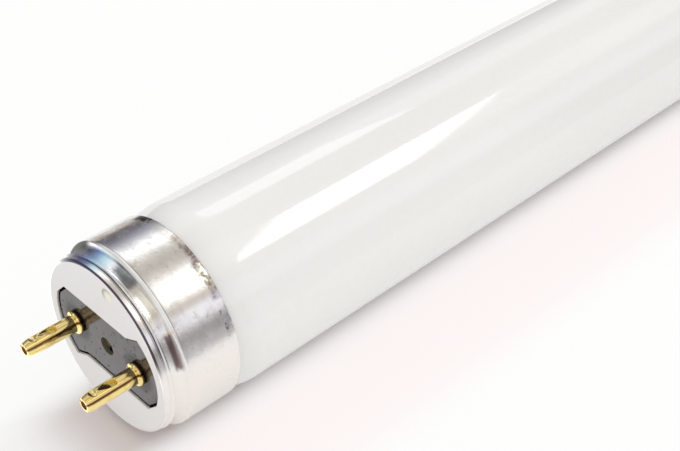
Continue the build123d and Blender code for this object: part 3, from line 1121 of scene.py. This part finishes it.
def crimp_shade(settings, depth, off_axis):
    """How far a point of the barrel is sunk in a crimp, from 0 to 1."""
    if depth >= -settings.collar_width or from_tip(settings, depth) <= TINT_FROM_TIP:
        return 0.0
    sunk = (settings.radius - settings.draft - off_axis) / MM
    tint = (sunk - TINT_LEAST_DEPTH) / TINT_GROWTH
    return 0.0 if in_mouth(settings, depth) else min(1.0, max(0.0, tint))


def pins_tree(material):
    """Geometry Nodes that set a pin two by two on both faces."""
    tree, given = new_tree("Contact pins", floats=("Spacing", "Face distance"), objects=("Pin",))
    index = source(tree, "GeometryNodeInputIndex")
    end = calc("FLOOR", (index + 0.5) / 2.0)
    side = index - end * 2.0
    place = add_node(tree, "ShaderNodeCombineXYZ")
    feed(place.inputs["X"], (end * 2.0 - 1.0) * given["Face distance"])
    feed(place.inputs["Y"], (side - 0.5) * given["Spacing"])
    turn = add_node(tree, "ShaderNodeCombineXYZ")
    feed(turn.inputs["Z"], end * math.pi)
    points = add_node(tree, "GeometryNodePoints")
    feed(points.inputs["Count"], 4)
    turned = add_node(tree, "FunctionNodeEulerToRotation")
    pin = add_node(tree, "GeometryNodeObjectInfo")
    feed(pin.inputs["Object"], given["Pin"])
    spread = add_node(tree, "GeometryNodeInstanceOnPoints")
    join(
        tree,
        (place.outputs[0], points.inputs["Position"]),
        (turn.outputs[0], turned.inputs[0]),
        (points.outputs[0], spread.inputs["Points"]),
        (pin.outputs["Geometry"], spread.inputs["Instance"]),
        (turned.outputs[0], spread.inputs["Rotation"]),
    )
    end_tree(tree, spread.outputs[0], material)
    return tree


class LAMP_OT_pins(Operator):
    """Make the four crimped contact pins with Geometry Nodes"""

    bl_idname = "lamp.pins"
    bl_label = "Contact pins"

    def execute(self, context):
        settings = context.scene.lamp_pin
        material = pin_brass(settings)
        form = pin_form(settings)
        sizes = {"Pin": form, "Spacing": settings.spacing, "Face distance": FACE_X}
        host = host_with(pins_tree(material), sizes)
        nodes = [f"{end}_contact_pin_{letter}" for end in ENDS for letter in "ab"]
        finished(host, "contact_pins", material, nodes)
        bpy.data.objects.remove(form)
        return {"FINISHED"}


# Pieces that keep their CAD shape

def repaint(node, material):
    """Gives a CAD node a procedural material."""
    mesh = frame["nodes"][node].data
    for index in range(len(mesh.materials)):
        mesh.materials[index] = material
    if not mesh.materials:
        mesh.materials.append(material)


class LAMP_OT_plates(Operator):
    """Finish the insulator plates, the cement and the lead wires"""

    bl_idname = "lamp.plates"
    bl_label = "Plates, cement and wires"

    def execute(self, context):
        settings = context.scene.lamp_plate
        plastic = plate_plastic(settings)
        cement = capping_cement(settings)
        wire = lead_wire_metal(settings)
        for end in ENDS:
            repaint(f"{end}_insulator_plate", plastic)
            repaint(f"{end}_cement_ring", cement)
            for letter in "ab":
                repaint(f"{end}_lead_wire_{letter}", wire)
        return {"FINISHED"}


# Stage

# What gleaming surfaces see of the studio, by degrees round the lamp from the top to the front
SURROUND_BANDS = (
    (-180.0, (0.84, 0.84, 0.84)),
    (-104.0, (0.8, 0.8, 0.77)),
    (-94.0, (0.32, 0.3, 0.27)),
    (-85.0, (0.11, 0.1, 0.1)),
    (-72.0, (0.14, 0.14, 0.16)),
    (-62.0, (0.31, 0.31, 0.35)),
    (-54.0, (0.42, 0.43, 0.46)),
    (-46.0, (0.82, 0.83, 0.85)),
    (-31.0, (0.92, 0.92, 0.89)),
    (-24.0, (0.55, 0.52, 0.47)),
    (-8.0, (0.44, 0.41, 0.37)),
    (3.0, (0.5, 0.46, 0.42)),
    (12.0, (0.88, 0.86, 0.82)),
    (33.0, (0.94, 0.92, 0.84)),
    (41.0, (0.54, 0.49, 0.42)),
    (49.0, (0.57, 0.54, 0.53)),
    (58.0, (0.84, 0.83, 0.87)),
    (68.0, (0.8, 0.79, 0.82)),
    (76.0, (0.28, 0.26, 0.25)),
    (88.0, (0.32, 0.31, 0.31)),
    (99.0, (0.72, 0.7, 0.68)),
    (180.0, (0.84, 0.83, 0.81)),
)

# Colours of the light and the floor, with the painted shadow on the floor next to the lamp and its pink tint
EVEN_LIGHT = (1.0, 0.995, 0.985, 1.0)
FLOOR_PAINTED_SHADOW = (0.8, 0.735, 0.73)
FLOOR_SHADOW_PINK = (1.0, 0.93, 0.925)
FLOOR_MIRRORED = (0.93, 0.92, 0.91)
FLOOR_FAR_OUT = (0.55, 0.53, 0.53)

# Low and high (x, y) corners of the panel lights, and their height
PANEL_BEHIND = ((0.4, 0.49), (0.74, 0.93))
PANEL_IN_FRONT = ((0.4, -0.74), (0.79, -0.22))
PANEL_HEIGHT = 1.0

# Place of the photo's camera, and its right, up and back axes as columns
CAMERA_PLACE = (-0.27127, -0.09632, 0.10133)
CAMERA_AXES = ((0.71981, 0.42588, -0.54818), (-0.69416, 0.44169, -0.56838), (0.0, 0.78964, 0.61359))


def mixed(tree, share_of_second, first, second):
    """Output of a Mix Shader node."""
    node = add_node(tree, "ShaderNodeMixShader")
    feed(node.inputs[0], share_of_second)
    join(tree, (first, node.inputs[1]), (second, node.inputs[2]))
    return node.outputs[0]


def background(tree, tone, strength):
    """Output of a Background node."""
    node = add_node(tree, "ShaderNodeBackground")
    feed(node.inputs["Color"], tone)
    feed(node.inputs["Strength"], strength)
    return node.outputs[0]


def build_world(settings):
    """Even light for matt surfaces, and soft bands across the lamp for what gleams."""
    world = bpy.data.worlds.new("Studio")
    bpy.context.scene.world = world
    world.use_nodes = True
    tree = world.node_tree
    tree.nodes.clear()
    _, y, z = split(source(tree, "ShaderNodeTexCoord", "Generated"))
    bands = shades(calc("DEGREES", calc("ARCTAN2", -y, z)), SURROUND_BANDS)
    even = background(tree, EVEN_LIGHT, settings.surround)
    gleam = background(tree, bands, settings.gleam)
    white = background(tree, (1.0, 1.0, 1.0, 1.0), 1.0)
    lit = mixed(tree, source(tree, "ShaderNodeLightPath", "Is Glossy Ray"), even, gleam)
    seen = mixed(tree, source(tree, "ShaderNodeLightPath", "Is Camera Ray"), lit, white)
    join(tree, (seen, add_node(tree, "ShaderNodeOutputWorld").inputs["Surface"]))


def floor_material(settings):
    """White sweep that keeps the lamp's shadow, with a painted shadow and a painted pink shadow tint next to
    the lamp. What gleams sees it bright by the faces and dim far out.
    """
    material = bpy.data.materials.new("floor")
    material.use_nodes = True
    tree = material.node_tree
    tree.nodes.clear()
    rays = add_node(tree, "ShaderNodeLightPath").outputs
    names = ("Is Camera Ray", "Is Glossy Ray", "Glossy Depth", "Diffuse Depth")
    camera_ray, glossy_ray, glossy_depth, diffuse_depth = (Value(tree, rays[name]) for name in names)
    x, y, _ = split(source(tree, "ShaderNodeTexCoord", "Object"))
    off_axis = abs(y)
    ahead = (abs(x) - FACE_X) / MM
    # painted shadow: the floor's own colour darker and pinker next to the lamp
    contact = fall(off_axis, 4.0 * MM, 9.0 * MM) * fall(ahead, 0.0, 20.0)
    # painted shadow tint: the white glow pinker in a band beside the lamp
    pink_shadow = window(y, -26.0 * MM, -9.0 * MM, 4.0 * MM) * fall(ahead, 0.0, 6.0)
    matt = add_node(tree, "ShaderNodeBsdfDiffuse")
    feed(matt.inputs["Color"], blend(contact, tuple(settings.floor), FLOOR_PAINTED_SHADOW))
    glow = add_node(tree, "ShaderNodeEmission")
    feed(glow.inputs["Color"], blend(pink_shadow, (1.0, 1.0, 1.0), FLOOR_SHADOW_PINK))
    beside = ramp(off_axis, 5.0 * MM, 11.5 * MM, 0.0, 0.8)
    before = ramp(ahead, 2.0, 12.0, 0.0, 0.55) + ramp(ahead, 14.0, 50.0, 0.0, 0.25)
    seen = mixed(tree, camera_ray * larger(beside, before), matt.outputs[0], glow.outputs[0])
    in_front = ramp(ahead, -2.0, 4.0) * ramp(y, -4.0 * MM, 1.0 * MM) * calc("LESS_THAN", glossy_depth, 1.5)
    beyond = fall(y, -95.0 * MM, -55.0 * MM)
    mirrored = add_node(tree, "ShaderNodeEmission")
    feed(mirrored.inputs["Color"], blend(beyond, FLOOR_MIRRORED, FLOOR_FAR_OUT))
    feed(mirrored.inputs["Strength"], in_front * (settings.sheen - 1.0) + 1.0)
    first_bounce = calc("LESS_THAN", diffuse_depth, 0.5)
    mirrored_share = glossy_ray * first_bounce * larger(larger(beyond, in_front), 0.4)
    surface = mixed(tree, mirrored_share, seen, mirrored.outputs[0])
    join(tree, (surface, add_node(tree, "ShaderNodeOutputMaterial").inputs["Surface"]))
    return material


def panel_light(name, radiance, low, high):
    """A rectangular light that faces straight down, between two (x, y) corners."""
    data = bpy.data.lights.new(name, "AREA")
    data.shape = "RECTANGLE"
    data.size = high[0] - low[0]
    data.size_y = high[1] - low[1]
    data.energy = radiance * math.pi * data.size * data.size_y
    light = bpy.data.objects.new(name, data)
    light.location = ((low[0] + high[0]) / 2, (low[1] + high[1]) / 2, PANEL_HEIGHT)
    bpy.context.scene.collection.objects.link(light)


class LAMP_OT_stage(Operator):
    """Set up the floor, the lights, the surround and the camera"""

    bl_idname = "lamp.stage"
    bl_label = "Stage"

    def execute(self, context):
        settings = context.scene.lamp_stage
        half = settings.floor_size / 2
        corners = [(-half, -half), (half, -half), (half, half), (-half, half)]
        floor = mesh_object("floor", [(x, y, -TUBE_R) for x, y in corners], [(0, 1, 2, 3)], smooth=False)
        floor.data.materials.append(floor_material(settings))
        build_world(settings)
        panel_light("panel_behind", settings.behind, *PANEL_BEHIND)
        panel_light("panel_in_front", settings.in_front, *PANEL_IN_FRONT)
        camera = bpy.data.cameras.new("camera")
        camera.lens = settings.lens
        camera.sensor_width = 36.0
        camera.clip_start = 0.005
        holder = bpy.data.objects.new("camera", camera)
        holder.matrix_world = Matrix.Translation(CAMERA_PLACE) @ Matrix(CAMERA_AXES).to_4x4()
        context.scene.collection.objects.link(holder)
        context.scene.camera = holder
        context.scene.view_settings.view_transform = "Standard"
        return {"FINISHED"}


class LAMP_PT_sidebar(Panel):
    """The lamp's steps in the sidebar"""

    bl_idname = "LAMP_PT_sidebar"
    bl_label = "Tubular lamp"
    bl_space_type = "VIEW_3D"
    bl_region_type = "UI"
    bl_category = "Lamp"

    def draw(self, context):
        for step in STEPS:
            self.layout.operator(step.bl_idname)


STEPS = (LAMP_OT_glass_tube, LAMP_OT_caps, LAMP_OT_pins, LAMP_OT_plates, LAMP_OT_stage)
SETTINGS = {
    "lamp_glass": GlassTubeSettings,
    "lamp_cap": CapSettings,
    "lamp_pin": PinSettings,
    "lamp_plate": PlateSettings,
    "lamp_stage": StageSettings,
}


def register():
    for group in SETTINGS.values():
        bpy.utils.register_class(group)
    for name, group in SETTINGS.items():
        setattr(bpy.types.Scene, name, PointerProperty(type=group))
    for step in STEPS:
        bpy.utils.register_class(step)
    bpy.utils.register_class(LAMP_PT_sidebar)


def unregister():
    bpy.utils.unregister_class(LAMP_PT_sidebar)
    for step in reversed(STEPS):
        bpy.utils.unregister_class(step)
    for name in SETTINGS:
        delattr(bpy.types.Scene, name)
    for group in reversed(SETTINGS.values()):
        bpy.utils.unregister_class(group)


def main():
    """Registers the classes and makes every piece."""
    register()
    bpy.ops.lamp.glass_tube()
    bpy.ops.lamp.caps()
    bpy.ops.lamp.pins()
    bpy.ops.lamp.plates()
    bpy.ops.lamp.stage()


if __name__ == "__main__":
    main()
